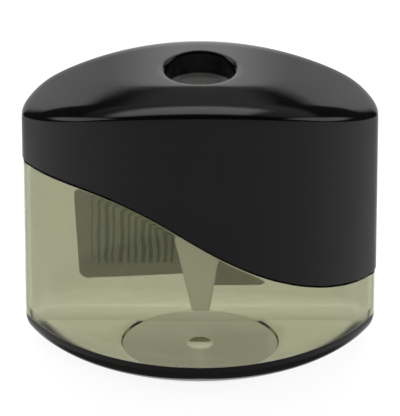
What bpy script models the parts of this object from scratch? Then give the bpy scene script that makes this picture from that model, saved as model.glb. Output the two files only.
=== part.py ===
"""Half-moon pencil sharpener over a shavings tub.

The cap lifts straight off the tub and carries a metal wedge sharpener in its socket.
Frame: origin under the middle of the base, +X right, +Y towards the flat back, +Z up.
"""

import math

import bmesh
import bpy
from mathutils import Matrix, Vector

mm = 0.001
tiny = 0.001 * mm

# Outer form, shared by the cap and the tub
body_width = 46.0 * mm
body_depth = 20.2 * mm
body_height = 40.7 * mm
back_corner_radius = 4.4 * mm
arch_drop = 7.5 * mm  # how far the top falls from the middle to either end
top_edge_radius = 0.9 * mm
base_edge_radius = 3.0 * mm
piece_gap = 0.3 * mm  # between pieces that touch

# The wave where cap and tub meet, as one Bezier curve seen from the front
wave_left_height = 26.1 * mm
wave_left_handle = (-3.8 * mm, 30.7 * mm)
wave_right_handle = (-2.8 * mm, 18.0 * mm)
wave_right_height = 9.7 * mm

# Cap
cap_wall = 1.5 * mm
cap_roof = 1.6 * mm
cap_lip = 0.65 * mm  # thickness left outside the tub's spigot
lap_height = 3.0 * mm  # how far the spigot rises inside the cap

# Tub
tub_inset = 0.12 * mm  # the cap stands this far proud of the tub
tub_wall = 1.5 * mm
tub_floor = 1.95 * mm
tub_inner_base_radius = 0.8 * mm
disc_half_width = 9.9 * mm
disc_half_depth = 8.3 * mm
disc_recess = 0.25 * mm
gate_radius = 1.6 * mm
gate_recess = 0.35 * mm

# Wedge sharpener: the block that is held in the cap
wedge_drop = 3.1 * mm  # from the cap's highest point down to the block
wedge_length = 29.0 * mm
wedge_width = 12.0 * mm  # front to back
wedge_side_clearance = 0.4 * mm  # to the tub's inner back wall
collar_length = 6.8 * mm
collar_blade_reach = 6.9 * mm  # from the pencil's axis to the collar's blade side
tip_blade_reach = 1.0 * mm  # from the pencil's axis to the tip's blade side
collar_back_reach = 6.2 * mm
tip_back_reach = 1.2 * mm
knee_reach = 2.4 * mm  # where the side away from the blade turns steeper
knee_rise = 7.8 * mm  # from the tip up to that knee
wedge_edge_radius = 0.25 * mm
apex_below_tip = 1.1 * mm  # where the pencil's point ends
point_half_angle = math.radians(12.0)
bore_radius = 4.1 * mm
bore_chamfer = 0.4 * mm

# Cap's pencil hole and socket
hole_radius = bore_radius + bore_chamfer
hole_edge_radius = 0.35 * mm
socket_wall = 1.2 * mm
socket_grip = 6.1 * mm  # length of the block that the socket surrounds

# Blade and its screw, in the blade seat's own frame
blade_gap = 0.15 * mm
blade_thickness = 0.6 * mm
blade_width = 5.8 * mm
blade_tip_margin = 0.3 * mm
blade_land = 0.05 * mm  # thickness of the cutting edge
blade_grind = 1.5 * mm  # width of the ground bevel
chip_window_width = 2.0 * mm
chip_window_depth = 0.9 * mm
chip_window_edge_depth = 0.54 * mm  # under the cutting edge
chip_window_overhang = 0.3 * mm  # behind the cutting edge
chip_window_flare = 1.2 * mm
screw_from_tip = 6.6 * mm  # along the blade
screw_from_edge = 3.6 * mm
screw_radius = 1.0 * mm
screw_length = 2.6 * mm  # below the blade seat
screw_head_radius = 1.7 * mm
screw_head_height = 0.8 * mm
screw_head_crown = 0.15 * mm
screw_slot_width = 0.5 * mm
screw_slot_depth = 0.4 * mm
screw_slot_turn = math.radians(35)

# Paper labels on the tub's flat back
label_gap = 0.1 * mm
label_thickness = 0.08 * mm
label_corner_radius = 1.2 * mm
barcode_label_size = (14.9 * mm, 14.4 * mm)
barcode_label_centre = (-8.6 * mm, 13.6 * mm)
barcode_label_tilt = math.radians(3.0)
price_label_size = (8.4 * mm, 9.6 * mm)
price_label_centre = (4.6 * mm, 9.8 * mm)

# How finely round shapes are divided
front_steps = 41
edge_steps = 4
corner_steps = 8
arch_steps = 24
wave_steps = 28
round_steps = 40

# Places that follow from the sizes above
inner_inset = max(cap_wall, tub_inset + tub_wall)
hole_y = body_depth / 2 - inner_inset - wedge_side_clearance - wedge_width / 2
wedge_top = body_height - wedge_drop
wedge_tip = wedge_top - wedge_length
apex_height = wedge_tip - apex_below_tip
point_slope = math.tan(point_half_angle)
cut_beyond = 3 * mm  # how far a cutter runs past what it cuts
above_all = body_height + 5 * mm
below_all = -5 * mm
beyond_width = body_width / 2 + cut_beyond


def clear_scene():
    for thing in list(bpy.data.objects):
        bpy.data.objects.remove(thing, do_unlink=True)


def new_collection(name):
    collection = bpy.data.collections.new(name)
    bpy.context.scene.collection.children.link(collection)
    return collection


clear_scene()
parts = new_collection("pencil_sharpener")
cutters = new_collection("cutters")


def add_part(name, mesh, place=None):
    part = bpy.data.objects.new(name, mesh)
    parts.objects.link(part)
    part.matrix_world = place or Matrix.Identity(4)
    return part


def add_cutter(name, mesh, place=None):
    cutter = bpy.data.objects.new(name, mesh)
    cutters.objects.link(cutter)
    cutter.matrix_world = place or Matrix.Identity(4)
    cutter.hide_render = True
    cutter.display_type = "WIRE"
    return cutter


def boolean(part, cutter, operation):
    step = part.modifiers.new(cutter.name, "BOOLEAN")
    step.operation = operation
    step.solver = "EXACT"
    step.object = cutter


def round_edges(part, radius, segments):
    """Rounds only the sharp rims, not the facets of curved walls."""
    step = part.modifiers.new("round_edges", "BEVEL")
    step.width = radius
    step.segments = segments
    step.limit_method = "ANGLE"
    step.angle_limit = math.radians(40)
    step.use_clamp_overlap = False
    part.modifiers.new("flat_faces", "TRIANGULATE")


def paint(part, color, roughness, metallic=0.0, alpha=1.0):
    material = bpy.data.materials.new(part.name)
    material.use_nodes = True
    shader = material.node_tree.nodes["Principled BSDF"]
    shader.inputs["Base Color"].default_value = (*color, 1.0)
    shader.inputs["Roughness"].default_value = roughness
    shader.inputs["Metallic"].default_value = metallic
    shader.inputs["Alpha"].default_value = alpha
    part.data.materials.append(material)


def smooth(part):
    part.data.shade_smooth()
    part.data.set_sharp_from_angle(angle=math.radians(35))


# Outlines


def arc(centre, radius, start, end, steps):
    """Points on an arc from start to end, both included."""
    points = []
    for step in range(steps + 1):
        angle = start + (end - start) * step / steps
        x = centre[0] + radius * math.cos(angle)
        y = centre[1] + radius * math.sin(angle)
        points.append((x, y))
    return points


def plan_outline(inset):
    """The half-moon from above: a front arc, two round back corners and a straight back."""
    corner_x = body_width / 2 - back_corner_radius
    corner_y = body_depth / 2 - back_corner_radius
    reach = body_depth - back_corner_radius
    front_radius = (corner_x**2 + reach**2 - back_corner_radius**2) / (
        2 * (reach - back_corner_radius)
    )
    centre_y = front_radius - body_depth / 2
    meet = math.atan2(corner_y - centre_y, corner_x)
    corner = back_corner_radius - inset
    front = arc((0, centre_y), front_radius - inset, -math.pi - meet, meet, front_steps)
    right = arc((corner_x, corner_y), corner, meet, math.pi / 2, corner_steps)
    left = arc((-corner_x, corner_y), corner, math.pi / 2, math.pi - meet, corner_steps)
    return front + right[1:] + left[:-1]


def arch_fall(x):
    """How far the cap's top lies below its middle at x."""
    half = body_width / 2
    radius = (half**2 + arch_drop**2) / (2 * arch_drop)
    return radius - math.sqrt(radius**2 - x**2)


def wave_point(share):
    ends = ((-body_width / 2, wave_left_height), (body_width / 2, wave_right_height))
    knots = (ends[0], wave_left_handle, wave_right_handle, ends[1])
    weights = (
        (1 - share) ** 3,
        3 * (1 - share) ** 2 * share,
        3 * (1 - share) * share**2,
        share**3,
    )
    x = sum(weight * knot[0] for weight, knot in zip(weights, knots))
    z = sum(weight * knot[1] for weight, knot in zip(weights, knots))
    return x, z


def wave_outline(lift):
    """Everything under the wave, seen from the front, with the wave raised by lift."""
    wave = [wave_point(step / wave_steps) for step in range(wave_steps + 1)]
    wave = [(x, z + lift) for x, z in wave]
    left = (-beyond_width, wave[0][1])
    right = (beyond_width, wave[-1][1])
    return [(beyond_width, below_all), right] + wave[::-1] + [left, (-beyond_width, below_all)]


def rounded_rectangle(size, radius, steps=6):
    """A rectangle about the origin with round corners."""
    points = []
    for turn, (side_x, side_y) in enumerate([(1, -1), (1, 1), (-1, 1), (-1, -1)]):
        centre = (side_x * (size[0] / 2 - radius), side_y * (size[1] / 2 - radius))
        start = (turn - 1) * math.pi / 2
        points += arc(centre, radius, start, start + math.pi / 2, steps)
    return points


# Solids from outlines and profiles


def extruded(points, thickness, place):
    """A mesh: the outline in its own XY plane, thickened equally both ways, then placed."""
    curve = bpy.data.curves.new("outline", "CURVE")
    curve.dimensions = "2D"
    curve.fill_mode = "BOTH"
    curve.extrude = thickness / 2
    spline = curve.splines.new("POLY")
    spline.points.add(len(points) - 1)
    for knot, (x, y) in zip(spline.points, points):
        knot.co = (x, y, 0, 1)
    spline.use_cyclic_u = True
    flat = bpy.data.objects.new("outline", curve)
    bpy.context.scene.collection.objects.link(flat)
    graph = bpy.context.evaluated_depsgraph_get()
    mesh = bpy.data.meshes.new_from_object(flat.evaluated_get(graph))
    bpy.data.objects.remove(flat)
    solid = bmesh.new()
    solid.from_mesh(mesh)
    bmesh.ops.remove_doubles(solid, verts=solid.verts, dist=tiny)
    bmesh.ops.dissolve_limit(
        solid, angle_limit=math.radians(0.2), verts=solid.verts, edges=solid.edges
    )
    bmesh.ops.recalc_face_normals(solid, faces=solid.faces)
    solid.transform(place)
    solid.to_mesh(mesh)
    solid.free()
    return mesh


def upright(points, low, high):
    """A plan outline that stands from low to high."""
    middle = Matrix.Translation((0, 0, (low + high) / 2))
    return extruded(points, high - low, middle)


def front_to_back(points, depth, middle_y=0.0):
    """A front-view outline that runs through the object from front to back."""
    turn = Matrix.Translation((0, middle_y, 0)) @ Matrix.Rotation(math.pi / 2, 4, "X")
    return extruded(points, depth, turn)


def box(low, high):
    mesh = bpy.data.meshes.new("box")
    solid = bmesh.new()
    bmesh.ops.create_cube(solid, size=1.0)
    size = Vector(high) - Vector(low)
    middle = (Vector(high) + Vector(low)) / 2
    solid.transform(Matrix.Translation(middle) @ Matrix.Diagonal((*size, 1.0)))
    solid.to_mesh(mesh)
    solid.free()
    return mesh


def turned(part, steps=round_steps):
    """Spins a part's profile about its own Z axis."""
    step = part.modifiers.new("turned", "SCREW")
    step.steps = steps
    step.render_steps = steps
    step.use_merge_vertices = True
    step.merge_threshold = 0.00001


def profile(points):
    """An open profile in the XZ plane, from the top down its outer side."""
    mesh = bpy.data.meshes.new("profile")
    edges = [(first, first + 1) for first in range(len(points) - 1)]
    mesh.from_pydata([(x, 0, z) for x, z in points], edges, [])
    return mesh


def crowned(inset, low, drop, edge_radius=0.0):
    """A half-moon block whose top follows the cap's arch, lowered by drop."""
    mesh = upright(plan_outline(inset), low, body_height - drop)
    solid = bmesh.new()
    solid.from_mesh(mesh)
    top = max(solid.faces, key=lambda face: face.calc_center_median().z)
    if edge_radius:
        bmesh.ops.bevel(
            solid,
            geom=list(top.edges),
            offset=edge_radius,
            segments=edge_steps,
            profile=0.5,
            affect="EDGES",
        )
    for step in range(1, arch_steps):
        x = body_width * (step / arch_steps - 0.5)
        whole = solid.verts[:] + solid.edges[:] + solid.faces[:]
        bmesh.ops.bisect_plane(solid, geom=whole, dist=tiny, plane_co=(x, 0, 0), plane_no=(1, 0, 0))
    for corner in solid.verts:
        if corner.co.z > low + tiny:
            corner.co.z -= arch_fall(corner.co.x)
    bmesh.ops.triangulate(solid, faces=solid.faces)
    solid.to_mesh(mesh)
    solid.free()
    return mesh


def half_moon(name, inset, low, high, add=add_cutter):
    return add(name, upright(plan_outline(inset), low, high))


def under_wave(name, lift):
    return add_cutter(name, front_to_back(wave_outline(lift), 2 * body_depth))


# Pieces


def make_cap():
    cap = add_part("cap", crowned(0, wave_right_height / 2, 0, top_edge_radius))
    cavity = add_cutter("cap_cavity", crowned(cap_wall, below_all, cap_roof))
    boolean(cap, cavity, "DIFFERENCE")

    boolean(cap, make_socket(), "UNION")
    boolean(cap, make_pocket(), "DIFFERENCE")
    boolean(cap, make_pencil_hole(), "DIFFERENCE")

    boolean(cap, under_wave("cap_lower_edge", 0), "DIFFERENCE")
    rebate = half_moon("cap_rebate", cap_lip, below_all, above_all)
    boolean(rebate, under_wave("rebate_top", lap_height + piece_gap), "INTERSECT")
    boolean(cap, rebate, "DIFFERENCE")
    paint(cap, (0.012, 0.012, 0.014), 0.22)
    smooth(cap)
    return cap


def pocket_box(margin):
    """Low and high corners of the socket's pocket, grown by margin to the sides."""
    low = (-collar_blade_reach - margin, hole_y - wedge_width / 2 - margin)
    high = (collar_back_reach + margin, hole_y + wedge_width / 2 + margin)
    return low, high


def make_socket():
    low, high = pocket_box(piece_gap + socket_wall)
    bottom = wedge_top - socket_grip
    socket = add_cutter("socket", box((*low, bottom), (high[0], body_depth, above_all)))
    within_cap = add_cutter("within_cap", crowned(cap_wall / 2, below_all, cap_roof / 2))
    boolean(socket, within_cap, "INTERSECT")
    return socket


def make_pocket():
    low, high = pocket_box(piece_gap)
    pocket = box((*low, below_all), (*high, wedge_top + piece_gap))
    return add_cutter("pocket", pocket)


def make_pencil_hole():
    centre = (hole_radius + hole_edge_radius, -hole_edge_radius)
    lip = arc(centre, hole_edge_radius, math.pi / 2, math.pi, 4)
    wide = hole_radius + hole_edge_radius
    bottom = wedge_top - body_height
    profile_points = [(0, cut_beyond), (wide, cut_beyond)] + lip + [(hole_radius, bottom), (0, bottom)]
    place = Matrix.Translation((0, hole_y, body_height))
    hole = add_cutter("pencil_hole", profile(profile_points), place)
    turned(hole)
    return hole


def make_tub():
    tub = half_moon("tub", tub_inset, 0, above_all, add_part)
    round_edges(tub, base_edge_radius, 5)
    boolean(tub, under_wave("tub_shoulder", -piece_gap), "INTERSECT")

    inside_lip = cap_lip + piece_gap
    spigot = half_moon("spigot", inside_lip, base_edge_radius, above_all)
    boolean(spigot, under_wave("spigot_top", lap_height), "INTERSECT")
    boolean(tub, spigot, "UNION")

    cavity = half_moon("tub_cavity", tub_inset + tub_wall, tub_floor, above_all)
    round_edges(cavity, tub_inner_base_radius, 3)
    boolean(tub, cavity, "DIFFERENCE")
    boolean(tub, make_disc(), "DIFFERENCE")
    boolean(tub, make_gate(), "DIFFERENCE")
    paint(tub, (0.33, 0.35, 0.21), 0.12, alpha=0.45)
    smooth(tub)
    return tub


def make_disc():
    rim = arc((0, 0), 1.0, 0, 2 * math.pi, round_steps)[:-1]
    rim = [(x * disc_half_width, y * disc_half_depth) for x, y in rim]
    return add_cutter("floor_disc", upright(rim, tub_floor - disc_recess, above_all))


def make_gate():
    """A shallow dish where the plastic entered the mould."""
    sphere_radius = (gate_radius**2 + gate_recess**2) / (2 * gate_recess)
    mesh = bpy.data.meshes.new("gate")
    solid = bmesh.new()
    bmesh.ops.create_uvsphere(solid, u_segments=24, v_segments=24, radius=sphere_radius)
    solid.to_mesh(mesh)
    solid.free()
    floor_top = tub_floor - disc_recess
    height = floor_top - gate_recess + sphere_radius
    return add_cutter("gate", mesh, Matrix.Translation((0, 0, height)))


def seat_frame():
    """Blade seat: X runs up the slope from the point's apex, Z points out of the seat."""
    up_slope = Vector((-math.sin(point_half_angle), 0, math.cos(point_half_angle)))
    across = Vector((0, 1, 0))
    outward = up_slope.cross(across)
    frame = Matrix((up_slope, across, outward)).transposed().to_4x4()
    return Matrix.Translation((0, hole_y, apex_height)) @ frame


def along_slope(height):
    return (height - apex_height) / math.cos(point_half_angle)


def along_seat(points, start, end):
    """A cross-section of the seat, given across and outward, run along the slope."""
    turn = Matrix(((0, 0, 1, (start + end) / 2), (1, 0, 0, 0), (0, 1, 0, 0), (0, 0, 0, 1)))
    return extruded(points, end - start, turn)


def make_wedge():
    collar_bottom = wedge_top - collar_length
    flank_top = wedge_tip + (collar_blade_reach - tip_blade_reach) / point_slope
    outline = [
        (tip_back_reach, wedge_tip),
        (knee_reach, wedge_tip + knee_rise),
        (collar_back_reach, collar_bottom),
        (collar_back_reach, wedge_top),
        (-collar_blade_reach, wedge_top),
        (-collar_blade_reach, flank_top),
        (-tip_blade_reach, wedge_tip),
    ]
    wedge = add_part("sharpener_body", front_to_back(outline, wedge_width, hole_y))
    round_edges(wedge, wedge_edge_radius, 2)
    boolean(wedge, make_bore(), "DIFFERENCE")
    boolean(wedge, make_blade_recess(), "DIFFERENCE")
    boolean(wedge, make_chip_window(), "DIFFERENCE")
    boolean(wedge, make_screw_hole(), "DIFFERENCE")
    paint(wedge, (0.55, 0.55, 0.53), 0.38, metallic=0.9)
    smooth(wedge)
    return wedge


def make_bore():
    """The pencil's guide: a chamfered cylinder over a cone."""
    cone_top = apex_height + bore_radius / point_slope
    points = [
        (0, wedge_top + cut_beyond),
        (bore_radius + bore_chamfer, wedge_top + cut_beyond),
        (bore_radius + bore_chamfer, wedge_top),
        (bore_radius, wedge_top - bore_chamfer),
        (bore_radius, cone_top),
        (0, apex_height),
    ]
    bore = add_cutter("bore", profile(points), Matrix.Translation((0, hole_y, 0)))
    turned(bore)
    return bore


def make_blade_recess():
    """The flat that the blade lies on, open at the tip and at the back."""
    end = along_slope(wedge_top - collar_length)
    start = along_slope(wedge_tip) - cut_beyond
    recess = box((start, 0, 0), (end, wedge_width, wedge_width))
    return add_cutter("blade_recess", recess, seat_frame())


def make_chip_window():
    """The slot beside the cutting edge where shavings come out."""
    section = [
        (chip_window_overhang, -chip_window_edge_depth),
        (chip_window_overhang, cut_beyond),
        (-chip_window_width - chip_window_flare, cut_beyond),
        (-chip_window_width, -chip_window_depth),
    ]
    start = along_slope(wedge_tip) - cut_beyond
    end = along_slope(apex_height + bore_radius / point_slope)
    return add_cutter("chip_window", along_seat(section, start, end), seat_frame())


def screw_place():
    along = along_slope(wedge_tip) + screw_from_tip
    return seat_frame() @ Matrix.Translation((along, screw_from_edge, 0))


def make_screw_hole():
    radius = screw_radius + piece_gap
    deep = -screw_length - piece_gap
    points = [(0, cut_beyond), (radius, cut_beyond), (radius, deep), (0, deep)]
    hole = add_cutter("screw_hole", profile(points), screw_place())
    turned(hole, 24)
    return hole


def make_blade():
    base = blade_gap
    top = blade_gap + blade_thickness
    section = [
        (0, base),
        (blade_width, base),
        (blade_width, top),
        (blade_grind, top),
        (0, base + blade_land),
    ]
    start = along_slope(wedge_tip) + blade_tip_margin
    end = along_slope(wedge_top - collar_length) - piece_gap
    blade = add_part("blade", along_seat(section, start, end))
    blade.data.transform(seat_frame())
    boolean(blade, bpy.data.objects["screw_hole"], "DIFFERENCE")
    paint(blade, (0.62, 0.62, 0.63), 0.22, metallic=1.0)
    smooth(blade)
    return blade


def make_screw():
    head_base = 2 * blade_gap + blade_thickness
    head_top = head_base + screw_head_height
    points = [
        (0, head_top),
        (screw_head_radius - screw_head_crown, head_top - screw_head_crown),
        (screw_head_radius, head_top - 2 * screw_head_crown),
        (screw_head_radius, head_base),
        (screw_radius, head_base),
        (screw_radius, -screw_length),
        (0, -screw_length),
    ]
    screw = add_part("blade_screw", profile(points), screw_place())
    turned(screw, 24)
    slot = box(
        (-2 * screw_head_radius, -screw_slot_width / 2, head_top - screw_slot_depth),
        (2 * screw_head_radius, screw_slot_width / 2, head_top + cut_beyond),
    )
    turn = Matrix.Rotation(screw_slot_turn, 4, "Z")
    cutter = add_cutter("screw_slot", slot, screw_place() @ turn)
    boolean(screw, cutter, "DIFFERENCE")
    paint(screw, (0.5, 0.5, 0.5), 0.3, metallic=1.0)
    smooth(screw)
    return screw


def make_label(name, size, centre, tilt):
    """A paper label against the tub's flat back."""
    back_face = body_depth / 2 - tub_inset
    middle_y = back_face + label_gap + label_thickness / 2
    turn = Matrix.Rotation(math.pi / 2, 4, "X") @ Matrix.Rotation(tilt, 4, "Z")
    place = Matrix.Translation((centre[0], middle_y, centre[1])) @ turn
    outline = rounded_rectangle(size, label_corner_radius)
    label = add_part(name, extruded(outline, label_thickness, place))
    paint(label, (0.8, 0.79, 0.75), 0.7)
    return label


def add_axis(name, place):
    axis = bpy.data.objects.new(name, None)
    parts.objects.link(axis)
    axis.empty_display_size = 5 * mm
    axis.matrix_world = place
    return axis


def carry(axis, pieces):
    """Parents pieces to an axis without moving them."""
    bpy.context.view_layer.update()
    for piece in pieces:
        world = piece.matrix_world.copy()
        piece.parent = axis
        piece.matrix_parent_inverse = axis.matrix_world.inverted()
        piece.matrix_world = world


tub = make_tub()
barcode_label = make_label(
    "barcode_label", barcode_label_size, barcode_label_centre, barcode_label_tilt
)
price_label = make_label("price_label", price_label_size, price_label_centre, 0.0)

cap = make_cap()
sharpener_body = make_wedge()
blade = make_blade()
blade_screw = make_screw()

lift_axis = add_axis("cap_lift_axis", Matrix.Translation((0, hole_y, 0)))
carry(lift_axis, [cap, sharpener_body, blade, blade_screw])
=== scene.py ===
import math

import bmesh
import bpy
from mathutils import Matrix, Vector


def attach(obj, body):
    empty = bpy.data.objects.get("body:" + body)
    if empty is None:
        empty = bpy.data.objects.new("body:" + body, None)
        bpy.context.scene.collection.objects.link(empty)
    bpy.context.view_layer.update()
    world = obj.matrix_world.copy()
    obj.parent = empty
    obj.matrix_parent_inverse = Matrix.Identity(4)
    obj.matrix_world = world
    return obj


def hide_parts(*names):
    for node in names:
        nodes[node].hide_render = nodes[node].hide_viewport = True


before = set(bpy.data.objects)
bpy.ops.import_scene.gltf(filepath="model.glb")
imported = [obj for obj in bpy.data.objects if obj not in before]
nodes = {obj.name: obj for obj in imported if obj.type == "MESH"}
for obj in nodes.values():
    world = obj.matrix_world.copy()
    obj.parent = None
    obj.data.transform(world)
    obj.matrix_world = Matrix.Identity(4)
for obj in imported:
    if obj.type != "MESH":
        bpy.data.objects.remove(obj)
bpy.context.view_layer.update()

mm = 0.001

form = {
    "width": 46.0 * mm,
    "depth": 20.2 * mm,
    "height": 40.7 * mm,
    "backCorner": 4.4 * mm,
    "archDrop": 7.5 * mm,
    "waveEnds": (26.1 * mm, 9.7 * mm),
    "waveHandles": ((-3.8 * mm, 30.7 * mm), (-2.8 * mm, 18.0 * mm)),
    "holeY": 2.08 * mm,
    "frontColumns": 132,
    "cornerColumns": 22,
    "backColumns": 60,
}


# Radius of the outline's curved front.
def frontCurve():
    corner = form["backCorner"]
    cornerX = form["width"] / 2 - corner
    reach = form["depth"] - corner
    return (cornerX**2 + reach**2 - corner**2) / (2 * (reach - corner))


# Points on the outline from above, each with its outward normal.
def planColumns():
    corner = form["backCorner"]
    cornerX = form["width"] / 2 - corner
    cornerY = form["depth"] / 2 - corner
    frontRadius = frontCurve()
    centreY = frontRadius - form["depth"] / 2
    meet = math.atan2(cornerY - centreY, cornerX)
    columns = []

    def arc(centre, radius, start, end, count):
        for step in range(count):
            angle = start + (end - start) * step / count
            normal = Vector((math.cos(angle), math.sin(angle)))
            columns.append((Vector(centre) + radius * normal, normal))

    arc((0, centreY), frontRadius, -math.pi - meet, meet, form["frontColumns"])
    arc((cornerX, cornerY), corner, meet, math.pi / 2, form["cornerColumns"])
    for step in range(form["backColumns"]):
        x = cornerX * (1 - 2 * step / form["backColumns"])
        columns.append((Vector((x, form["depth"] / 2)), Vector((0, 1))))
    arc((-cornerX, cornerY), corner, math.pi / 2, math.pi - meet, form["cornerColumns"])
    return columns


columns = planColumns()


# The outline moved inwards by inset.
def rim(inset):
    return [point - inset * normal for point, normal in columns]


# How far a spot lies inside the outline.
def insetAt(spot):
    corner = form["backCorner"]
    cornerX = form["width"] / 2 - corner
    cornerY = form["depth"] / 2 - corner
    frontRadius = frontCurve()
    centre = Vector((0, frontRadius - form["depth"] / 2))
    fromFront = frontRadius - (spot - centre).length
    fromBack = form["depth"] / 2 - spot.y
    side = Vector((math.copysign(cornerX, spot.x), cornerY))
    out = spot - side
    toFront = side - centre
    beyondFront = toFront.x * out.y - toFront.y * out.x
    if spot.x < 0:
        beyondFront = -beyondFront
    if abs(spot.x) > cornerX and out.length > 0 and beyondFront > 0:
        return corner - out.length
    return min(fromFront, fromBack)


# How far the arched top has fallen at x.
def archFall(x):
    half = form["width"] / 2
    radius = (half**2 + form["archDrop"] ** 2) / (2 * form["archDrop"])
    return radius - math.sqrt(radius**2 - x**2)


# Height of the wave between cap and tub at x.
def waveHeight(x):
    half = form["width"] / 2
    (leftX, leftZ), (rightX, rightZ) = form["waveHandles"]
    low, high = 0.0, 1.0
    for _ in range(40):
        t = (low + high) / 2
        reached = -half * (1 - t) ** 3 + 3 * leftX * (1 - t) ** 2 * t
        reached += 3 * rightX * (1 - t) * t**2 + half * t**3
        if reached < x:
            low = t
        else:
            high = t
    leftEnd, rightEnd = form["waveEnds"]
    z = leftEnd * (1 - t) ** 3 + 3 * leftZ * (1 - t) ** 2 * t
    return z + 3 * rightZ * (1 - t) * t**2 + rightEnd * t**3


# A mesh through rows of points. A row with one point closes an end, closed joins the last row
# to the first, and finish gives each band's material.
def loft(name, rows, closed=True, finish=None):
    mesh = bpy.data.meshes.new(name)
    solid = bmesh.new()
    made = [[solid.verts.new(point) for point in row] for row in rows]
    following = made[1:] + (made[:1] if closed else [])
    for band, (upper, lower) in enumerate(zip(made, following)):
        count = max(len(upper), len(lower))
        for step in range(count):
            after = (step + 1) % count
            ring = [upper[step % len(upper)]]
            if len(lower) > 1:
                ring += [lower[step], lower[after]]
            else:
                ring += [lower[0]]
            if len(upper) > 1:
                ring.append(upper[after])
            face = solid.faces.new(ring)
            face.smooth = True
            face.material_index = finish[band] if finish else 0
    bmesh.ops.recalc_face_normals(solid, faces=solid.faces)
    solid.to_mesh(mesh)
    solid.free()
    thing = bpy.data.objects.new(name, mesh)
    bpy.context.scene.collection.objects.link(thing)
    return thing


# Joins points closer than 0.005 mm and splits many-sided faces, so that none folds onto another.
def weld(mesh):
    near = 0.005 * mm
    solid = bmesh.new()
    solid.from_mesh(mesh)
    bmesh.ops.remove_doubles(solid, verts=solid.verts, dist=near)
    bmesh.ops.dissolve_degenerate(solid, edges=solid.edges, dist=near)
    manySided = [face for face in solid.faces if len(face.verts) > 4]
    bmesh.ops.triangulate(solid, faces=manySided, quad_method="BEAUTY", ngon_method="BEAUTY")
    bmesh.ops.dissolve_degenerate(solid, edges=solid.edges, dist=near)
    solid.to_mesh(mesh)
    solid.free()


def sharpen(thing, degrees=38):
    thing.data.shade_smooth()
    thing.data.set_sharp_from_angle(angle=math.radians(degrees))


# A quarter turn in equal steps.
def turns(count):
    return [math.pi / 2 * step / count for step in range(count + 1)]


def newMaterial(name):
    material = bpy.data.materials.new(name)
    material.use_nodes = True
    return material, material.node_tree, material.node_tree.nodes["Principled BSDF"]


def node(tree, kind, values=None, **settings):
    made = tree.nodes.new("ShaderNode" + kind)
    for key, value in settings.items():
        setattr(made, key, value)
    for key, value in (values or {}).items():
        made.inputs[key].default_value = value
    return made


# Object coordinates, in metres.
def place(tree):
    return node(tree, "TexCoord").outputs["Object"]


# Noise with about perMm features in a millimetre.
def noise(tree, perMm, detail=3.0, roughness=0.5, stretch=None):
    source = place(tree)
    if stretch:
        mapping = node(tree, "Mapping", {"Scale": stretch})
        tree.links.new(source, mapping.inputs["Vector"])
        source = mapping.outputs["Vector"]
    made = node(tree, "TexNoise", {"Scale": perMm / mm, "Detail": detail, "Roughness": roughness})
    tree.links.new(source, made.inputs["Vector"])
    return made.outputs["Fac"]


# Stretches one range of values onto another.
def remap(tree, source, fromLow, fromHigh, toLow, toHigh, smooth=False):
    made = node(
        tree,
        "MapRange",
        {"From Min": fromLow, "From Max": fromHigh, "To Min": toLow, "To Max": toHigh},
    )
    if smooth:
        made.interpolation_type = "SMOOTHSTEP"
    tree.links.new(source, made.inputs["Value"])
    return made.outputs["Result"]


def sums(tree, operation, first, second=None):
    made = node(tree, "Math", operation=operation)
    for socket, value in zip(made.inputs, (first, second)):
        if value is None:
            continue
        if isinstance(value, (int, float)):
            socket.default_value = value
        else:
            tree.links.new(value, socket)
    return made.outputs[0]


# Mixes two colours, each given as numbers or as a socket.
def blendColour(tree, share, first, second):
    made = node(tree, "Mix", data_type="RGBA")
    tree.links.new(share, made.inputs["Factor"])
    for socket, value in zip(made.inputs[6:8], (first, second)):
        if isinstance(value, tuple):
            socket.default_value = (*value, 1)
        else:
            tree.links.new(value, socket)
    return made.outputs[2]


def bump(tree, shader, height, depth, strength=1.0):
    made = node(tree, "Bump", {"Strength": strength, "Distance": depth})
    tree.links.new(height, made.inputs["Height"])
    tree.links.new(made.outputs["Normal"], shader.inputs["Normal"])
    return made


blackPlastic = {
    "glossyColours": ((0.0022, 0.0022, 0.0026), (0.004, 0.004, 0.0046)),
    "glossyHaze": (0.035, 0.07),
    "scratchHaze": (0.0, 0.06),
    "satinColours": ((0.015, 0.0148, 0.0165), (0.026, 0.0255, 0.0285)),
    "satinHaze": (0.36, 0.46),
    "satinShine": 0.45,
}


# Polished top of the cap: slight haze, fine wiping scratches.
def glossyBlack():
    material, tree, shader = newMaterial("glossyBlack")
    cloud = noise(tree, 0.25, 4)
    colour = blendColour(tree, cloud, *blackPlastic["glossyColours"])
    tree.links.new(colour, shader.inputs["Base Color"])
    scratches = noise(tree, 1.2, 3, 0.6, (0.2, 3.5, 1.0))
    haze = remap(tree, cloud, 0.3, 0.7, *blackPlastic["glossyHaze"])
    scratched = remap(tree, scratches, 0.55, 0.8, *blackPlastic["scratchHaze"])
    tree.links.new(sums(tree, "ADD", haze, scratched), shader.inputs["Roughness"])
    bump(tree, shader, noise(tree, 0.35, 2), 0.006 * mm, 0.5)
    return material


# Eroded side of the cap: an even fine grain, a little polished by handling.
def satinBlack():
    material, tree, shader = newMaterial("satinBlack")
    cloud = noise(tree, 0.12, 3)
    grain = noise(tree, 7.0, 2, 0.6)
    mottled = sums(tree, "ADD", sums(tree, "MULTIPLY", cloud, 0.6), sums(tree, "MULTIPLY", grain, 0.4))
    colour = blendColour(tree, mottled, *blackPlastic["satinColours"])
    tree.links.new(colour, shader.inputs["Base Color"])
    haze = remap(tree, mottled, 0.35, 0.65, *blackPlastic["satinHaze"])
    tree.links.new(haze, shader.inputs["Roughness"])
    shader.inputs["Specular IOR Level"].default_value = blackPlastic["satinShine"]
    bump(tree, shader, grain, 0.012 * mm, 0.6)
    return material


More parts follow.
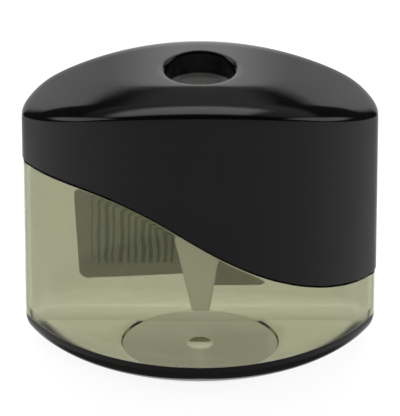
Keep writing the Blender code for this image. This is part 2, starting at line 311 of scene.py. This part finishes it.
clearPlastic = {
    "ior": 1.53,
    "density": 270.0,
    "keeps": (0.38, 0.39, 0.07),
    "noFilm": (1.0, 1.0, 1.0),
    "wallFilm": (0.745, 0.75, 0.69),
    # painted shade: the disc's darker, neutral colour stands in for the shade in its recess
    "discPaintedShade": (0.47, 0.46, 0.45),
    # painted shade: the near-black colour of the opaque band round the base
    "paintedBaseShade": (0.013, 0.012, 0.0115),
    "smearHaze": (0.015, 0.05),
    "fineHaze": (0.0, 0.02),
    "discHaze": 0.12,
}


# Clear smoky plastic: a tint from its depth, with a film of colour on the walls, a darker tint on the disc
# that is painted shade of its recess,
# and painted shade round the base: an opaque, near-black band, strongest at the front.
def smokyPlastic():
    material, tree, shader = newMaterial("smokyPlastic")
    shader.inputs["IOR"].default_value = clearPlastic["ior"]
    smears = noise(tree, 0.3, 4, 0.55)
    fine = noise(tree, 2.5, 3)
    wall = node(tree, "Attribute", attribute_name="wallShare").outputs["Fac"]
    disc = node(tree, "Attribute", attribute_name="discShare").outputs["Fac"]
    # painted shade round the base: where this share is 1 the plastic is opaque and near black
    base = node(tree, "Attribute", attribute_name="paintedBaseShadeShare").outputs["Fac"]
    tintAndShade = blendColour(tree, wall, clearPlastic["noFilm"], clearPlastic["wallFilm"])
    # painted shade on the disc: its colour is darkened where the disc share is 1
    tintAndShade = blendColour(tree, disc, tintAndShade, clearPlastic["discPaintedShade"])
    tintAndShade = blendColour(tree, base, tintAndShade, clearPlastic["paintedBaseShade"])
    tree.links.new(tintAndShade, shader.inputs["Base Color"])
    # the painted base shade also turns transmission off, so the band is opaque
    tree.links.new(sums(tree, "SUBTRACT", 1.0, base), shader.inputs["Transmission Weight"])
    smeared = remap(tree, smears, 0.45, 0.75, *clearPlastic["smearHaze"])
    polish = sums(tree, "ADD", smeared, remap(tree, fine, 0.6, 0.8, *clearPlastic["fineHaze"]))
    frosting = sums(tree, "MULTIPLY", disc, clearPlastic["discHaze"])
    tree.links.new(sums(tree, "ADD", polish, frosting), shader.inputs["Roughness"])
    bump(tree, shader, smears, 0.01 * mm, 0.35)
    tint = (*clearPlastic["keeps"], 1)
    absorb = node(tree, "VolumeAbsorption", {"Density": clearPlastic["density"], "Color": tint})
    tree.links.new(absorb.outputs[0], tree.nodes["Material Output"].inputs["Volume"])
    return material


metal = {
    "castColours": ((0.88, 0.87, 0.85), (0.96, 0.95, 0.93)),
    "castHaze": (0.34, 0.52),
    "castMetallic": 0.1,
    "bladeColour": (0.62, 0.62, 0.63),
    "bladeLines": (6.0, 1.0, 0.4),
    "bladeHaze": 0.18,
    "screwColour": (0.52, 0.52, 0.52),
    "screwLines": (1.0, 1.0, 3.0),
    "screwHaze": 0.26,
    "darkLines": 0.72,
}


# Die-cast block: pale grey, fine grain, faint milling marks across it.
def castMagnesium():
    material, tree, shader = newMaterial("castMagnesium")
    grain = noise(tree, 3.0, 4, 0.6)
    milled = noise(tree, 1.0, 3, 0.6, (1.0, 1.0, 9.0))
    worn = sums(tree, "ADD", sums(tree, "MULTIPLY", grain, 0.5), sums(tree, "MULTIPLY", milled, 0.5))
    tree.links.new(blendColour(tree, worn, *metal["castColours"]), shader.inputs["Base Color"])
    shader.inputs["Metallic"].default_value = metal["castMetallic"]
    tree.links.new(remap(tree, worn, 0.3, 0.7, *metal["castHaze"]), shader.inputs["Roughness"])
    bump(tree, shader, worn, 0.02 * mm, 0.6)
    return material


# Ground or turned steel with fine lines.
def groundSteel(name, base, stretch, rough):
    material, tree, shader = newMaterial(name)
    lines = noise(tree, 2.0, 4, 0.65, stretch)
    spots = noise(tree, 0.5, 3)
    darker = tuple(metal["darkLines"] * value for value in base)
    tree.links.new(blendColour(tree, lines, darker, base), shader.inputs["Base Color"])
    shader.inputs["Metallic"].default_value = 1.0
    lined = remap(tree, lines, 0.3, 0.7, rough, rough + 0.14)
    uneven = sums(tree, "ADD", lined, remap(tree, spots, 0.5, 0.8, 0.0, 0.08))
    tree.links.new(uneven, shader.inputs["Roughness"])
    bump(tree, shader, lines, 0.006 * mm, 0.5)
    return material


labels = {
    "paper": (0.86, 0.86, 0.84),
    "ink": (0.05, 0.05, 0.055),
    "showThrough": 0.45,  # how strongly the ink shows on the paper's inner side
    "barPitch": 0.95 * mm,
    "barShares": (0.25, 0.60),
    "ripple": 0.9 * mm,
    "margins": (1.9 * mm, 2.0 * mm, 1.5 * mm),  # sides, below, above
    "barcode": {"size": (14.9 * mm, 14.4 * mm), "centre": (-8.6 * mm, 13.6 * mm), "tilt": 3.0},
    "price": {"size": (8.4 * mm, 9.6 * mm), "centre": (4.6 * mm, 9.8 * mm), "tilt": 0.0},
    "corner": 1.2 * mm,
    "thickness": 0.08 * mm,
    "gap": 0.1 * mm,
}


# Matt label paper with fibres, and on one label plain stripes of differing widths.
def printedPaper(name, piece, barred):
    material, tree, shader = newMaterial(name)
    fibres = noise(tree, 5.0, 4, 0.65)
    stains = noise(tree, 0.2, 3)
    darker = tuple(0.82 * value for value in labels["paper"])
    paper = blendColour(tree, fibres, darker, labels["paper"])
    if barred:
        split = node(tree, "SeparateXYZ")
        tree.links.new(place(tree), split.inputs[0])
        waver = sums(tree, "SUBTRACT", noise(tree, 0.28, 1), 0.5)
        ripple = sums(tree, "MULTIPLY", waver, labels["ripple"])
        across = sums(tree, "ADD", split.outputs["X"], ripple)
        cell = sums(tree, "DIVIDE", across, labels["barPitch"])
        chance = node(tree, "TexWhiteNoise", noise_dimensions="1D")
        tree.links.new(sums(tree, "FLOOR", cell), chance.inputs["W"])
        width = remap(tree, chance.outputs["Value"], 0.0, 1.0, *labels["barShares"])
        bar = sums(tree, "LESS_THAN", sums(tree, "FRACT", cell), width)
        centreX, centreZ = piece["centre"]
        sideMargin, marginBelow, marginAbove = labels["margins"]
        halfX = piece["size"][0] / 2 - sideMargin
        left = sums(tree, "GREATER_THAN", across, centreX - halfX)
        right = sums(tree, "LESS_THAN", across, centreX + halfX)
        lowest = centreZ - piece["size"][1] / 2 + marginBelow
        highest = centreZ + piece["size"][1] / 2 - marginAbove
        above = sums(tree, "GREATER_THAN", split.outputs["Z"], lowest)
        below = sums(tree, "LESS_THAN", split.outputs["Z"], highest)
        printedFace = form["depth"] / 2 - tub["inset"] + labels["gap"] + labels["thickness"] / 2
        outside = sums(tree, "GREATER_THAN", split.outputs["Y"], printedFace)
        strength = remap(tree, outside, 0.0, 1.0, labels["showThrough"], 1.0)
        inked = bar
        for share in (left, right, above, below, strength):
            inked = sums(tree, "MULTIPLY", inked, share)
        paper = blendColour(tree, inked, paper, labels["ink"])
    tree.links.new(paper, shader.inputs["Base Color"])
    shader.inputs["Subsurface Weight"].default_value = 0.7
    shader.inputs["Subsurface Radius"].default_value = (0.3 * mm, 0.3 * mm, 0.3 * mm)
    shader.inputs["Subsurface Scale"].default_value = 1.0
    tree.links.new(remap(tree, stains, 0.3, 0.7, 0.7, 0.85), shader.inputs["Roughness"])
    bump(tree, shader, fibres, 0.01 * mm, 0.5)
    return material


cap = {
    "edgeAcross": (2.4 * mm, 1.8 * mm),  # rounding of the top edge, at the front and at the back
    "edgeDown": (0.62 * mm, 0.35 * mm),
    "wall": 1.5 * mm,
    "roof": 1.6 * mm,
    "lip": 0.65 * mm,
    "lap": 3.3 * mm,
    "hole": 4.5 * mm,
    "holeEdge": 0.35 * mm,
    "holeFoot": 0.05 * mm,  # the hole's wall ends this far below the pocket's top
    "lowerEdge": 0.10 * mm,
    "lapEdge": 0.03 * mm,
    "leanWidth": 7.9 * mm,  # the top leans forward within this distance of the front
    "leanStart": 0.031,
    "leanBlend": 1.2 * mm,
    "leanMore": 0.06,
    "socketX": (-8.4 * mm, 7.7 * mm),
    "socketY": (-5.42 * mm, 9.35 * mm),
    "pocketX": (-7.2 * mm, 6.5 * mm),
    "pocketY": (-4.22 * mm, 8.38 * mm),
    "socketBottom": 31.5 * mm,
    "socketTopBelow": 1.3 * mm,
    "pocketTop": 37.9 * mm,
}


# Height of the cap's top: the arch, and a slight lean along the front.
def capTop(spot):
    frontRadius = frontCurve()
    inset = frontRadius - math.hypot(spot.x, spot.y - frontRadius + form["depth"] / 2)
    into = max(cap["leanWidth"] - inset, 0.0)
    blend = cap["leanBlend"]
    near = min(into, blend) / blend
    fall = cap["leanStart"] * (blend * (near**3 - near**4 / 2) + max(into - blend, 0.0))
    fall += cap["leanMore"] * into**2 / (2 * cap["leanWidth"])
    return form["height"] - archFall(spot.x) - fall


# A circle about the pencil hole, with a point towards each column.
def ringAround(radius):
    middle = Vector((0, form["holeY"]))
    return [middle + radius * (point - middle).normalized() for point, _ in columns]


def makeCap():
    rows, finish = [], []
    satin, glossy = 0, 1

    def add(points, heights, surface):
        rows.append([(point.x, point.y, height) for point, height in zip(points, heights)])
        finish.append(surface)

    frontness = [max(0.0, min(1.0, 0.5 - 1.2 * normal.y)) for _, normal in columns]
    across = [share * cap["edgeAcross"][0] + (1 - share) * cap["edgeAcross"][1] for share in frontness]
    down = [share * cap["edgeDown"][0] + (1 - share) * cap["edgeDown"][1] for share in frontness]

    def edgeAt(angle):
        points = [
            point - width * (1 - math.sin(angle)) * normal
            for (point, normal), width in zip(columns, across)
        ]
        heights = [capTop(spot) - fall * (1 - math.cos(angle)) for spot, fall in zip(points, down)]
        return points, heights

    lipRing = ringAround(cap["hole"] + cap["holeEdge"])
    lipTop = [capTop(spot) for spot in lipRing]
    bore = ringAround(cap["hole"])
    boreFoot = cap["pocketTop"] - cap["holeFoot"]
    for share in (0.0, 0.3, 0.6, 0.85):
        add(bore, [boreFoot + share * (top - cap["holeEdge"] - boreFoot) for top in lipTop], glossy)
    for angle in turns(8):
        out = cap["hole"] + cap["holeEdge"] * (1 - math.cos(angle))
        rise = cap["holeEdge"] * (1 - math.sin(angle))
        add(ringAround(out), [top - rise for top in lipTop], glossy)
    edgeRing = edgeAt(0.0)[0]
    for share in [step / 18 for step in range(1, 18)]:
        points = [start.lerp(end, share) for start, end in zip(lipRing, edgeRing)]
        add(points, [capTop(spot) for spot in points], glossy)
    for angle in turns(16):
        points, heights = edgeAt(angle)
        add(points, heights, glossy)
    finish[-1] = satin
    outer = rim(0)
    tops = edgeAt(math.pi / 2)[1]
    wave = [waveHeight(spot.x) for spot in outer]
    soft = cap["lowerEdge"]
    for share in [step / 14 for step in range(1, 14)] + [0.985]:
        add(outer, [top + share * (low + soft - top) for top, low in zip(tops, wave)], satin)
    for angle in turns(3):
        points = rim(soft * (1 - math.cos(angle)))
        add(points, [waveHeight(spot.x) + soft * (1 - math.sin(angle)) for spot in points], satin)
    lip, lap, small = cap["lip"], cap["lap"], cap["lapEdge"]
    for inset, lift in ((lip - small, 0.0), (lip, small), (lip, lap - small), (lip + small, lap)):
        points = rim(inset)
        add(points, [waveHeight(spot.x) + lift for spot in points], satin)
    inner = rim(cap["wall"])
    ceiling = [form["height"] - cap["roof"] - archFall(spot.x) for spot in inner]
    foot = [waveHeight(spot.x) + cap["lap"] for spot in inner]
    for share in (0.0, 0.04, 0.25, 0.5, 0.75, 0.97, 1.0):
        add(inner, [low + share * (high - low) for low, high in zip(foot, ceiling)], satin)
    tube = ringAround(cap["hole"] + cap["holeEdge"])
    for share in (0.05, 0.2, 0.4, 0.6, 0.8, 1.0):
        points = [start.lerp(end, share) for start, end in zip(inner, tube)]
        add(points, [form["height"] - cap["roof"] - archFall(spot.x) for spot in points], satin)
    add(tube, [boreFoot] * len(tube), satin)
    made = loft("cap_shell", rows, finish=finish)
    made.data.materials.append(satinBlack())
    made.data.materials.append(glossyBlack())

    socket = makeSocket()
    socket.data.materials.append(made.data.materials[satin])
    union = made.modifiers.new("socket", "BOOLEAN")
    union.operation = "UNION"
    union.solver = "EXACT"
    union.object = socket
    graph = bpy.context.evaluated_depsgraph_get()
    made.data = bpy.data.meshes.new_from_object(made.evaluated_get(graph))
    made.modifiers.clear()
    bpy.data.objects.remove(socket)
    weld(made.data)
    sharpen(made)
    return made


# Points round a rectangle.
def boxRing(acrossX, acrossY, perSide=6):
    left, right = acrossX
    front, back = acrossY
    corners = [(left, front), (right, front), (right, back), (left, back)]
    points = []
    for start, end in zip(corners, corners[1:] + corners[:1]):
        points += [Vector(start).lerp(Vector(end), step / perSide) for step in range(perSide)]
    return points


# The block inside the cap that grips the wedge, open below.
def makeSocket():
    outer = boxRing(cap["socketX"], cap["socketY"])
    pocket = boxRing(cap["pocketX"], cap["pocketY"])
    middle = Vector((0, form["holeY"]))
    radius = cap["hole"] + cap["holeEdge"] / 2
    circle = [middle + radius * (spot - middle).normalized() for spot in pocket]
    high = form["height"] - cap["socketTopBelow"]
    levels = ((outer, cap["socketBottom"]), (outer, high), (circle, high), (circle, cap["pocketTop"]))
    levels += ((pocket, cap["pocketTop"]), (pocket, cap["socketBottom"]))
    return loft("socket", [[(spot.x, spot.y, height) for spot in ring] for ring, height in levels])


capPiece = makeCap()
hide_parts("cap")
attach(capPiece, "cap")
print("cap made:", len(capPiece.data.polygons), "faces")

tub = {
    "inset": 0.12 * mm,
    "wall": 1.5 * mm,
    "floor": 1.95 * mm,
    "baseEdge": 3.0 * mm,
    "innerBase": 0.8 * mm,
    "spigotInset": 0.95 * mm,
    "lap": 3.0 * mm,
    "gap": 0.3 * mm,
    "rimEdge": 0.12 * mm,
    "disc": (9.9 * mm, 8.3 * mm),
    "discRecess": 0.25 * mm,
    "gate": 1.6 * mm,
    "gateRecess": 0.35 * mm,
    "gateEdge": 0.08 * mm,
    "discEdge": (0.16 * mm, 0.24 * mm),  # rounding of the disc's upper edge, less where room is short
    "discEdgeBelow": 0.04 * mm,
    # painted shade: the dark band round the base is painted from these heights down
    "shade": (3.30 * mm, 3.42 * mm),  # the dark base line starts between these heights
}


# Height of the tub's inner floor, with its round foot, at an inset.
def floorHeight(inset):
    start = tub["inset"] + tub["wall"] + tub["innerBase"]
    if inset >= start:
        return tub["floor"]
    across = min(start - inset, tub["innerBase"])
    return tub["floor"] + tub["innerBase"] - math.sqrt(max(tub["innerBase"] ** 2 - across**2, 0))


# Spots from the disc's rim to the wall's foot: even on the flat, then even round the foot.
def floorPath(start, end):
    startInset = insetAt(start)
    endInset = tub["inset"] + tub["wall"]
    bend = endInset + tub["innerBase"]

    def shareAt(inset):
        low, high = 0.0, 1.0
        for _ in range(30):
            middle = (low + high) / 2
            if insetAt(start.lerp(end, middle)) > inset:
                low = middle
            else:
                high = middle
        return (low + high) / 2

    flatShare = max(shareAt(bend) if startInset > bend else 0.0, 0.35)
    flatInset = insetAt(start.lerp(end, flatShare))
    turned = math.asin(max(0.0, min(1.0, (bend - flatInset) / tub["innerBase"])))
    spots = [start.lerp(end, flatShare * step / 7) for step in range(1, 8)]
    for step in range(1, 9):
        angle = turned + (math.pi / 2 - turned) * step / 8
        share = shareAt(bend - tub["innerBase"] * math.sin(angle)) if step < 8 else 1.0
        spots.append(start.lerp(end, share))
    return spots


def makeTub():
    rows, walls, discs, baseShadeShares = [], [], [], []
    # the painted base shade is full at the front and fades out towards the back
    shadeTowardsFront = [max(0.0, min(1.0, 0.5 - normal.y * 1.4)) for _, normal in columns]

    # base: share of painted shade round the base, scaled by how far each column faces the front
    def add(points, heights, wall=0.0, disc=0.0, base=0.0):
        rows.append([(point.x, point.y, height) for point, height in zip(points, heights)])
        walls.extend([wall] * len(points))
        discs.extend([disc] * len(points))
        baseShadeShares.extend([base * share for share in shadeTowardsFront] if len(points) > 1 else [0.0])

    innerInset = tub["inset"] + tub["wall"]
    foot = rim(innerInset)
    headings = [spot.normalized() for spot in foot]
    discFloor = tub["floor"] - tub["discRecess"]
    halfX, halfY = tub["disc"]

    add([Vector((0, 0))], [discFloor - tub["gateRecess"]])
    for share in (0.25, 0.5, 0.7, 0.85, 0.95, 1.0):
        dish = discFloor - tub["gateRecess"] * (1 - share**2)
        add([tub["gate"] * share * way for way in headings], [dish] * len(headings))
    add([(tub["gate"] + tub["gateEdge"]) * way for way in headings], [discFloor] * len(headings), 0.0, 1.0)
    edge = [way / math.hypot(way.x / halfX, way.y / halfY) for way in headings]
    for share in (0.33, 0.6, 0.8, 0.93, 1.0):
        spots = [(tub["gate"] * 1.1 * way).lerp(rimSpot, share) for way, rimSpot in zip(headings, edge)]
        add(spots, [discFloor] * len(spots), 0.0, 1.0)
    room = [end.length - start.length for start, end in zip(edge, foot)]
    near, far = tub["discEdge"]
    for most, share, below in ((near, 0.3, tub["discEdgeBelow"]), (far, 0.5, 0.0)):
        lipped = [spot + min(most, share * gap) * way for spot, way, gap in zip(edge, headings, room)]
        add(lipped, [floorHeight(insetAt(spot)) - below for spot in lipped])
    paths = [floorPath(start, end) for start, end in zip(lipped, foot)]
    for step in range(len(paths[0])):
        spots = [path[step] for path in paths]
        add(spots, [floorHeight(insetAt(spot)) for spot in spots])

    bottom = [tub["floor"] + tub["innerBase"]] * len(foot)
    high = [waveHeight(spot.x) + tub["lap"] for spot in foot]
    soft = tub["rimEdge"]
    for share in (0.1, 0.25, 0.45, 0.65, 0.85, 0.97):
        add(foot, [low + share * (top - soft - low) for low, top in zip(bottom, high)], 1.0)
    for angle in turns(3):
        spots = rim(innerInset - soft * (1 - math.cos(angle)))
        add(spots, [waveHeight(spot.x) + tub["lap"] - soft * (1 - math.sin(angle)) for spot in spots], 1.0)
    for angle in turns(3):
        spots = rim(tub["spigotInset"] + soft * (1 - math.sin(angle)))
        add(spots, [waveHeight(spot.x) + tub["lap"] - soft * (1 - math.cos(angle)) for spot in spots], 1.0)
    for lift in (0.6, 0.2, 0.0):
        spots = rim(tub["spigotInset"])
        add(spots, [waveHeight(spot.x) - tub["gap"] + lift * tub["lap"] for spot in spots], 1.0)
    for angle in turns(4):
        spots = rim(tub["inset"] + soft * (1 - math.sin(angle)))
        add(spots, [waveHeight(spot.x) - tub["gap"] - soft * (1 - math.cos(angle)) for spot in spots], 1.0)
    outer = rim(tub["inset"])
    shoulder = [waveHeight(spot.x) - tub["gap"] - soft for spot in outer]
    for share in (0.03, 0.15, 0.35, 0.55, 0.75, 0.9):
        add(outer, [top + share * (tub["shade"][1] - top) for top in shoulder], 1.0)
    low, high = tub["shade"]
    add(outer, [high] * len(outer), 1.0)
    # painted shade from here down, round the base
    add(outer, [low] * len(outer), 1.0, base=1.0)
    for angle in turns(16):
        spots = rim(tub["inset"] + tub["baseEdge"] * (1 - math.cos(angle)))
        add(spots, [tub["baseEdge"] * (1 - math.sin(angle))] * len(spots), 1.0, base=1.0)
    last = rim(tub["inset"] + tub["baseEdge"] + 0.1 * mm)
    for share in (1.0, 0.7, 0.4, 0.15):
        add([share * spot for spot in last], [0.0] * len(last))
    add([Vector((0, 0))], [0.0])
    made = loft("tub_shell", rows, closed=False)
    for name, values in (("wallShare", walls), ("discShare", discs), ("paintedBaseShadeShare", baseShadeShares)):
        made.data.attributes.new(name, "FLOAT", "POINT").data.foreach_set("value", values)
    made.data.materials.append(smokyPlastic())
    sharpen(made)
    return made


tubPiece = makeTub()
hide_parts("tub")
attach(tubPiece, "tub")
print("tub made:", len(tubPiece.data.polygons), "faces")


# A thin paper rectangle with round corners.
def makeLabel(name, piece, material):
    width, height = piece["size"]
    corner = labels["corner"]
    outline = []
    for turn, (sideX, sideZ) in enumerate([(1, -1), (1, 1), (-1, 1), (-1, -1)]):
        for step in range(7):
            angle = (turn - 1) * math.pi / 2 + step * math.pi / 12
            x = sideX * (width / 2 - corner) + corner * math.cos(angle)
            z = sideZ * (height / 2 - corner) + corner * math.sin(angle)
            outline.append(Vector((x, z)))
    tilt = math.radians(piece["tilt"])
    back = form["depth"] / 2 - tub["inset"] + labels["gap"]
    rows = []

    def add(share, y):
        row = []
        for spot in outline:
            x, z = share * spot
            placed = (
                piece["centre"][0] + x * math.cos(tilt) - z * math.sin(tilt),
                y,
                piece["centre"][1] + x * math.sin(tilt) + z * math.cos(tilt),
            )
            row.append(placed)
        rows.append(row)

    middle = (piece["centre"][0], back, piece["centre"][1])
    rows.append([middle])
    for share in (0.35, 0.7, 0.97, 1.0):
        add(share, back)
    for share in (1.0, 0.97, 0.7, 0.35):
        add(share, back + labels["thickness"])
    rows.append([(middle[0], back + labels["thickness"], middle[2])])
    made = loft(name, rows, closed=False)
    made.data.materials.append(material)
    sharpen(made)
    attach(made, "tub")
    return made


stripedPaper = printedPaper("stripedPaper", labels["barcode"], True)
barcodePiece = makeLabel("striped_label", labels["barcode"], stripedPaper)
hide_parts("barcode_label")
plainPaper = printedPaper("plainPaper", labels["price"], False)
pricePiece = makeLabel("plain_label", labels["price"], plainPaper)
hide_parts("price_label")
print("labels made")


# Gives a CAD node a finish of its own.
def dress(name, material):
    thing = nodes[name]
    for slot in thing.material_slots:
        slot.material = material
    sharpen(thing, 30)


dress("sharpener_body", castMagnesium())
for name, finish in (("blade", "groundBlade"), ("blade_screw", "turnedSteel")):
    kind = name.split("_")[-1]
    steel = groundSteel(finish, metal[kind + "Colour"], metal[kind + "Lines"], metal[kind + "Haze"])
    dress(name, steel)
print("metal dressed")

studio = {
    "floorColour": (0.60, 0.60, 0.60),
    "floorGlow": 0.92,
    "floorSize": 4.0,
    # painted shadow: a dark ring on the floor under the front of the base
    "paintedShadow": (2.2 * mm, 2.6 * mm, 3.2 * mm, 3.9 * mm),  # dark ring under the front of the base
    "paintedShadowLight": 0.03,
    "paintedShadowBack": (5.0 * mm, 7.0 * mm),  # the ring fades out between these distances
    "frontCurve": (25.2 * mm, 15.1 * mm),  # radius and centre of the base's front
    "drop": -0.03 * mm,
}


# A pale floor that glows a little, with a painted shadow just under the front of the base.
def makeFloor():
    mesh = bpy.data.meshes.new("floor")
    solid = bmesh.new()
    bmesh.ops.create_grid(solid, x_segments=8, y_segments=8, size=studio["floorSize"])
    bmesh.ops.translate(solid, verts=solid.verts, vec=(0, 0, studio["drop"]))
    solid.to_mesh(mesh)
    solid.free()
    floor = bpy.data.objects.new("floor", mesh)
    bpy.context.scene.collection.objects.link(floor)
    material, tree, shader = newMaterial("paleFloor")
    cloud = noise(tree, 0.004, 3)
    split = node(tree, "SeparateXYZ")
    tree.links.new(place(tree), split.inputs[0])
    frontRadius, centreY = studio["frontCurve"]
    fromCentre = node(tree, "CombineXYZ")
    tree.links.new(split.outputs["X"], fromCentre.inputs["X"])
    tree.links.new(sums(tree, "SUBTRACT", split.outputs["Y"], centreY), fromCentre.inputs["Y"])
    away = node(tree, "VectorMath", operation="LENGTH")
    tree.links.new(fromCentre.outputs[0], away.inputs[0])
    inset = sums(tree, "SUBTRACT", frontRadius, away.outputs["Value"])
    begins, full, fades, ends = studio["paintedShadow"]
    # painted shadow: the floor's colour and glow are darkened in a ring under the front of the base
    ring = remap(tree, inset, begins, full, 0.0, 1.0)
    ring = sums(tree, "MULTIPLY", ring, remap(tree, inset, fades, ends, 1.0, 0.0))
    inFront = remap(tree, split.outputs["Y"], *studio["paintedShadowBack"], 1.0, 0.0)
    ring = sums(tree, "MULTIPLY", ring, inFront)
    light = remap(tree, ring, 0.0, 1.0, 1.0, studio["paintedShadowLight"])
    colour = studio["floorColour"]
    pale = blendColour(tree, cloud, tuple(0.97 * value for value in colour), colour)
    # the painted shadow darkens the floor's colour here, and its glow below
    shaded = node(tree, "Mix", data_type="RGBA", blend_type="MULTIPLY")
    shaded.inputs["Factor"].default_value = 1.0
    tree.links.new(pale, shaded.inputs[6])
    tree.links.new(light, shaded.inputs[7])
    tree.links.new(shaded.outputs[2], shader.inputs["Base Color"])
    shader.inputs["Roughness"].default_value = 0.9
    shader.inputs["Emission Color"].default_value = (1, 1, 1, 1)
    tree.links.new(sums(tree, "MULTIPLY", light, studio["floorGlow"]), shader.inputs["Emission Strength"])
    floor.data.materials.append(material)
    floor.visible_glossy = False
    return floor


sky = {
    "dark": 0.035,
    "wall": 0.70,
    "wallMiddle": 0.85,
    "wallMiddleWidth": (0.04, 0.30),
    "above": 0.22,
    "aboveFrom": (0.46, 0.54),
    "aboveBack": (0.15, 0.45),
    "aboveAcross": (-0.75, 0.10),
    "aboveLeft": 0.35,
    "below": 0.55,
    "belowFrom": (-0.04, -0.10),
    "belowTo": (-0.62, -0.80),
    "belowBack": (-0.85, 0.65),
    "belowFront": 0.07,
    "fill": 5.0,
    "fillHigh": (0.15, 0.45),
    "fillFront": (-0.15, -0.55),
    "wallTop": (0.495, 0.53),
    "wallTopBends": 0.85,
    "wallAside": (0.74, -0.06, 0.06),
    "sideLights": 1.0,
    "sideFrom": (0.66, 0.74),
    "sideLow": (0.20, 0.32),
    "sideHigh": (0.62, 0.72),
    "sideFront": (-0.10, 0.12),
    "sideBack": (0.58, 0.70),
    "overhead": 1.25,
    "overheadFrom": (0.60, 0.72),
    "overheadLeft": (-0.75, -0.50),
    "overheadRight": (0.28, 0.42),
    "overheadFront": (0.22, 0.46),
}


# White walls behind and at the sides, a soft light above, a dark camera side.
def makeSky():
    world = bpy.data.worlds.new("studio")
    bpy.context.scene.world = world
    world.use_nodes = True
    tree = world.node_tree
    split = node(tree, "SeparateXYZ")
    tree.links.new(node(tree, "TexCoord").outputs["Generated"], split.inputs[0])
    x, y, z = split.outputs
    aside = sums(tree, "ABSOLUTE", x)

    def within(*shares):
        total = shares[0]
        for share in shares[1:]:
            total = sums(tree, "MULTIPLY", total, share)
        return total

    squared = sums(tree, "MULTIPLY", x, x)
    bent = sums(tree, "ADD", z, sums(tree, "MULTIPLY", squared, sky["wallTopBends"]))
    slant, soft, softer = sky["wallAside"]
    beside = sums(tree, "SUBTRACT", aside, sums(tree, "MULTIPLY", y, slant))
    wall = within(
        remap(tree, bent, *sky["wallTop"], 1.0, 0.0, True),
        remap(tree, beside, soft, softer, 1.0, 0.0, True),
    )
    sides = within(
        remap(tree, aside, *sky["sideFrom"], 0.0, 1.0, True),
        remap(tree, z, *sky["sideLow"], 0.0, 1.0, True),
        remap(tree, z, *sky["sideHigh"], 1.0, 0.0, True),
        remap(tree, y, *sky["sideFront"], 0.0, 1.0, True),
        remap(tree, y, *sky["sideBack"], 1.0, 0.0, True),
    )
    overhead = within(
        remap(tree, z, *sky["overheadFrom"], 0.0, 1.0, True),
        remap(tree, x, *sky["overheadLeft"], 0.0, 1.0, True),
        remap(tree, x, *sky["overheadRight"], 1.0, 0.0, True),
        remap(tree, y, *sky["overheadFront"], 0.0, 1.0, True),
    )
    above = within(
        remap(tree, z, *sky["aboveFrom"], 0.0, 1.0, True),
        remap(tree, y, *sky["aboveBack"], 0.0, 1.0, True),
        remap(tree, x, *sky["aboveAcross"], sky["aboveLeft"], 1.0, True),
    )
    below = within(
        remap(tree, z, *sky["belowFrom"], 0.0, 1.0, True),
        remap(tree, z, *sky["belowTo"], 1.0, 0.0, True),
        remap(tree, y, *sky["belowBack"], sky["belowFront"], 1.0),
    )
    middle = within(wall, remap(tree, aside, *sky["wallMiddleWidth"], 1.0, 0.0, True))
    path = node(tree, "LightPath")
    fill = within(
        remap(tree, y, *sky["fillFront"], 0.0, 1.0, True),
        remap(tree, z, *sky["fillHigh"], 1.0, 0.0, True),
        path.outputs["Is Transmission Ray"],
    )
    total = sky["dark"]
    lights = (
        (wall, "wall"),
        (middle, "wallMiddle"),
        (sides, "sideLights"),
        (overhead, "overhead"),
        (above, "above"),
        (below, "below"),
        (fill, "fill"),
    )
    for share, name in lights:
        total = sums(tree, "ADD", sums(tree, "MULTIPLY", share, sky[name]), total)
    tree.links.new(total, tree.nodes["Background"].inputs["Strength"])
    tree.nodes["Background"].inputs["Color"].default_value = (1, 1, 1, 1)


view = {
    "lens": 538.4,
    "sensor": 36,
    "location": (0, -0.7042, 0.4055),
    "target": (0, 0, 21.385 * mm),
}


def makeCamera():
    lens = bpy.data.cameras.new("camera")
    lens.lens = view["lens"]
    lens.sensor_width = view["sensor"]
    camera = bpy.data.objects.new("camera", lens)
    bpy.context.scene.collection.objects.link(camera)
    camera.location = view["location"]
    camera.rotation_euler = (Vector(view["target"]) - camera.location).to_track_quat("-Z", "Y").to_euler()
    bpy.context.scene.camera = camera


makeFloor()
makeSky()
makeCamera()
bpy.context.scene.view_settings.view_transform = "Standard"
print("studio ready")

bpy.context.view_layer.update()
